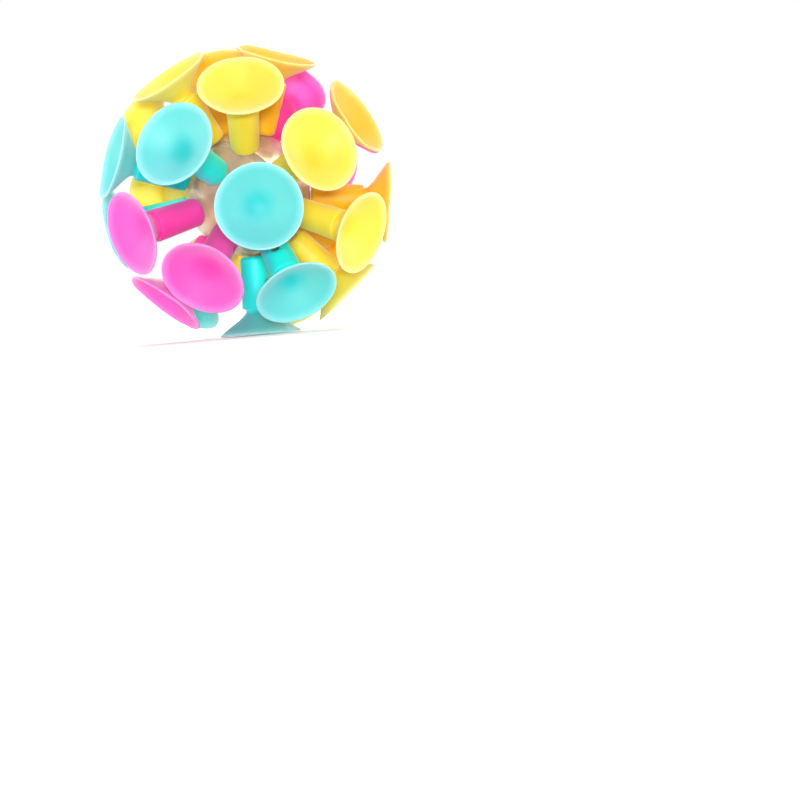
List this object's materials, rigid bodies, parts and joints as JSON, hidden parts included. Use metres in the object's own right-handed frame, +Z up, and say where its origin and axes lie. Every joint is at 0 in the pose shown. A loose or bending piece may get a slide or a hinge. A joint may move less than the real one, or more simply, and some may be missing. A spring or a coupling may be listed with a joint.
{
  "type": "light-up suction ball",
  "caption": "Round toy of soft rubber suckers on stalks, pushed over the pegs of a clear split core that holds a shake-operated flasher; it sticks to smooth faces and lights up.",
  "frame": {"origin": "the middle of the ball", "axes": "+Z up, away from the sucker that the ball stands on; +Y away from the side that the picture shows"},
  "size_m": [0.0648, 0.0648, 0.0638],
  "materials": {
    "rubber_magenta": "satin",
    "rubber_teal": "satin",
    "rubber_yellow": "satin",
    "rubber_orange": "satin",
    "clear_shell": "gloss",
    "clear_carrier": "gloss",
    "board": "matte",
    "lamp_red": "gloss",
    "lamp_green": "gloss",
    "lamp_blue": "gloss",
    "chip_black": "matte",
    "contact_steel": "satin",
    "cell_steel": "satin"
  },
  "bodies": {
    "core": {"core_near_half": "clear_shell", "core_far_half": "clear_shell", "carrier": "clear_carrier", "circuit_board": "board", "lamp_red": "lamp_red", "lamp_green": "lamp_green", "lamp_blue": "lamp_blue", "chip_cover": "chip_black", "switch_pin": "contact_steel", "switch_spring": "contact_steel", "button_cell_left": "cell_steel", "button_cell_right": "cell_steel", "battery_strip": "contact_steel"},
    "sucker_magenta_near_1": {"sucker_magenta_near_1": "rubber_magenta"},
    "sucker_magenta_near_2": {"sucker_magenta_near_2": "rubber_magenta"},
    "sucker_magenta_near_3": {"sucker_magenta_near_3": "rubber_magenta"},
    "sucker_teal_1": {"sucker_teal_1": "rubber_teal"},
    "sucker_teal_2": {"sucker_teal_2": "rubber_teal"},
    "sucker_teal_3": {"sucker_teal_3": "rubber_teal"},
    "sucker_teal_4": {"sucker_teal_4": "rubber_teal"},
    "sucker_teal_5": {"sucker_teal_5": "rubber_teal"},
    "sucker_teal_6": {"sucker_teal_6": "rubber_teal"},
    "sucker_teal_7": {"sucker_teal_7": "rubber_teal"},
    "sucker_yellow_1": {"sucker_yellow_1": "rubber_yellow"},
    "sucker_yellow_2": {"sucker_yellow_2": "rubber_yellow"},
    "sucker_yellow_3": {"sucker_yellow_3": "rubber_yellow"},
    "sucker_yellow_4": {"sucker_yellow_4": "rubber_yellow"},
    "sucker_yellow_5": {"sucker_yellow_5": "rubber_yellow"},
    "sucker_yellow_6": {"sucker_yellow_6": "rubber_yellow"},
    "sucker_yellow_7": {"sucker_yellow_7": "rubber_yellow"},
    "sucker_yellow_8": {"sucker_yellow_8": "rubber_yellow"},
    "sucker_yellow_9": {"sucker_yellow_9": "rubber_yellow"},
    "sucker_orange_1": {"sucker_orange_1": "rubber_orange"},
    "sucker_orange_2": {"sucker_orange_2": "rubber_orange"},
    "sucker_orange_3": {"sucker_orange_3": "rubber_orange"},
    "sucker_orange_4": {"sucker_orange_4": "rubber_orange"},
    "sucker_orange_5": {"sucker_orange_5": "rubber_orange"},
    "sucker_orange_6": {"sucker_orange_6": "rubber_orange"},
    "sucker_orange_7": {"sucker_orange_7": "rubber_orange"},
    "sucker_magenta_far_1": {"sucker_magenta_far_1": "rubber_magenta"},
    "sucker_magenta_far_2": {"sucker_magenta_far_2": "rubber_magenta"},
    "sucker_magenta_far_3": {"sucker_magenta_far_3": "rubber_magenta"}
  },
  "joints": [
    {"name": "sucker_magenta_near_1_turn", "type": "hinge", "parent": "core", "child": "sucker_magenta_near_1", "pos_m": [-0.00466, -0.00999, -0.00814], "axis": [-0.3401, -0.729, -0.594], "continuous": true},
    {"name": "sucker_magenta_near_2_turn", "type": "hinge", "parent": "core", "child": "sucker_magenta_near_2", "pos_m": [-0.01098, -0.00748, -0.00335], "axis": [-0.8011, -0.5462, -0.2447], "continuous": true},
    {"name": "sucker_magenta_near_3_turn", "type": "hinge", "parent": "core", "child": "sucker_magenta_near_3", "pos_m": [-0.00881, -0.00304, -0.01004], "axis": [-0.6433, -0.2222, -0.7326], "continuous": true},
    {"name": "sucker_teal_1_turn", "type": "hinge", "parent": "core", "child": "sucker_teal_1", "pos_m": [0, 0, -0.0137], "axis": [0, 0, -1], "continuous": true},
    {"name": "sucker_teal_2_turn", "type": "hinge", "parent": "core", "child": "sucker_teal_2", "pos_m": [0.00388, -0.00834, -0.01016], "axis": [0.2829, -0.6087, -0.7412], "continuous": true},
    {"name": "sucker_teal_3_turn", "type": "hinge", "parent": "core", "child": "sucker_teal_3", "pos_m": [0.00117, -0.01347, -0.00219], "axis": [0.0854, -0.9835, -0.1598], "continuous": true},
    {"name": "sucker_teal_4_turn", "type": "hinge", "parent": "core", "child": "sucker_teal_4", "pos_m": [-0.00608, -0.01154, 0.0042], "axis": [-0.4439, -0.842, 0.3065], "continuous": true},
    {"name": "sucker_teal_5_turn", "type": "hinge", "parent": "core", "child": "sucker_teal_5", "pos_m": [-0.01242, -0.00399, 0.0042], "axis": [-0.9063, -0.2909, 0.3065], "continuous": true},
    {"name": "sucker_teal_6_turn", "type": "hinge", "parent": "core", "child": "sucker_teal_6", "pos_m": [-0.01307, 0.00349, -0.00219], "axis": [-0.9537, 0.2549, -0.1598], "continuous": true},
    {"name": "sucker_teal_7_turn", "type": "hinge", "parent": "core", "child": "sucker_teal_7", "pos_m": [-0.00754, 0.00526, -0.01016], "axis": [-0.5503, 0.3843, -0.7412], "continuous": true},
    {"name": "sucker_yellow_1_turn", "type": "hinge", "parent": "core", "child": "sucker_yellow_1", "pos_m": [0.00894, 0.00023, -0.01038], "axis": [0.6528, 0.0168, -0.7574], "continuous": true},
    {"name": "sucker_yellow_2_turn", "type": "hinge", "parent": "core", "child": "sucker_yellow_2", "pos_m": [0.01049, -0.00727, -0.00498], "axis": [0.7655, -0.5309, -0.3634], "continuous": true},
    {"name": "sucker_yellow_3_turn", "type": "hinge", "parent": "core", "child": "sucker_yellow_3", "pos_m": [0.00713, -0.01137, 0.00275], "axis": [0.5201, -0.8302, 0.2006], "continuous": true},
    {"name": "sucker_yellow_4_turn", "type": "hinge", "parent": "core", "child": "sucker_yellow_4", "pos_m": [0.00043, -0.01015, 0.00919], "axis": [0.0313, -0.7411, 0.6707], "continuous": true},
    {"name": "sucker_yellow_5_turn", "type": "hinge", "parent": "core", "child": "sucker_yellow_5", "pos_m": [-0.00647, -0.00418, 0.01133], "axis": [-0.4722, -0.3051, 0.827], "continuous": true},
    {"name": "sucker_yellow_6_turn", "type": "hinge", "parent": "core", "child": "sucker_yellow_6", "pos_m": [-0.01034, 0.00375, 0.00817], "axis": [-0.7547, 0.2736, 0.5964], "continuous": true},
    {"name": "sucker_yellow_7_turn", "type": "hinge", "parent": "core", "child": "sucker_yellow_7", "pos_m": [-0.00937, 0.00992, 0.00119], "axis": [-0.684, 0.7243, 0.0867], "continuous": true},
    {"name": "sucker_yellow_8_turn", "type": "hinge", "parent": "core", "child": "sucker_yellow_8", "pos_m": [-0.00402, 0.01145, -0.00635], "axis": [-0.2934, 0.8361, -0.4636], "continuous": true},
    {"name": "sucker_yellow_9_turn", "type": "hinge", "parent": "core", "child": "sucker_yellow_9", "pos_m": [0.00321, 0.00763, -0.01092], "axis": [0.2346, 0.5567, -0.7969], "continuous": true},
    {"name": "sucker_orange_1_turn", "type": "hinge", "parent": "core", "child": "sucker_orange_1", "pos_m": [0.01358, 0.00004, -0.00177], "axis": [0.9916, 0.003, -0.1291], "continuous": true},
    {"name": "sucker_orange_2_turn", "type": "hinge", "parent": "core", "child": "sucker_orange_2", "pos_m": [0.01106, -0.00526, 0.00615], "axis": [0.8071, -0.3835, 0.4489], "continuous": true},
    {"name": "sucker_orange_3_turn", "type": "hinge", "parent": "core", "child": "sucker_orange_3", "pos_m": [0.00387, -0.00352, 0.01266], "axis": [0.2822, -0.2569, 0.9243], "continuous": true},
    {"name": "sucker_orange_4_turn", "type": "hinge", "parent": "core", "child": "sucker_orange_4", "pos_m": [-0.00257, 0.00394, 0.01287], "axis": [-0.1877, 0.2876, 0.9392], "continuous": true},
    {"name": "sucker_orange_5_turn", "type": "hinge", "parent": "core", "child": "sucker_orange_5", "pos_m": [-0.00341, 0.01151, 0.00661], "axis": [-0.2489, 0.8399, 0.4823], "continuous": true},
    {"name": "sucker_orange_6_turn", "type": "hinge", "parent": "core", "child": "sucker_orange_6", "pos_m": [0.00198, 0.01348, -0.0014], "axis": [0.1448, 0.9842, -0.1023], "continuous": true},
    {"name": "sucker_orange_7_turn", "type": "hinge", "parent": "core", "child": "sucker_orange_7", "pos_m": [0.00955, 0.00838, -0.00513], "axis": [0.6969, 0.6117, -0.3744], "continuous": true},
    {"name": "sucker_magenta_far_1_turn", "type": "hinge", "parent": "core", "child": "sucker_magenta_far_1", "pos_m": [0.01137, 0.00329, 0.0069], "axis": [0.8299, 0.2403, 0.5035], "continuous": true},
    {"name": "sucker_magenta_far_2_turn", "type": "hinge", "parent": "core", "child": "sucker_magenta_far_2", "pos_m": [0.00495, 0.0069, 0.01075], "axis": [0.3613, 0.5036, 0.7847], "continuous": true},
    {"name": "sucker_magenta_far_3_turn", "type": "hinge", "parent": "core", "child": "sucker_magenta_far_3", "pos_m": [0.00813, 0.01032, 0.00388], "axis": [0.5934, 0.7535, 0.2831], "continuous": true}
  ]
}
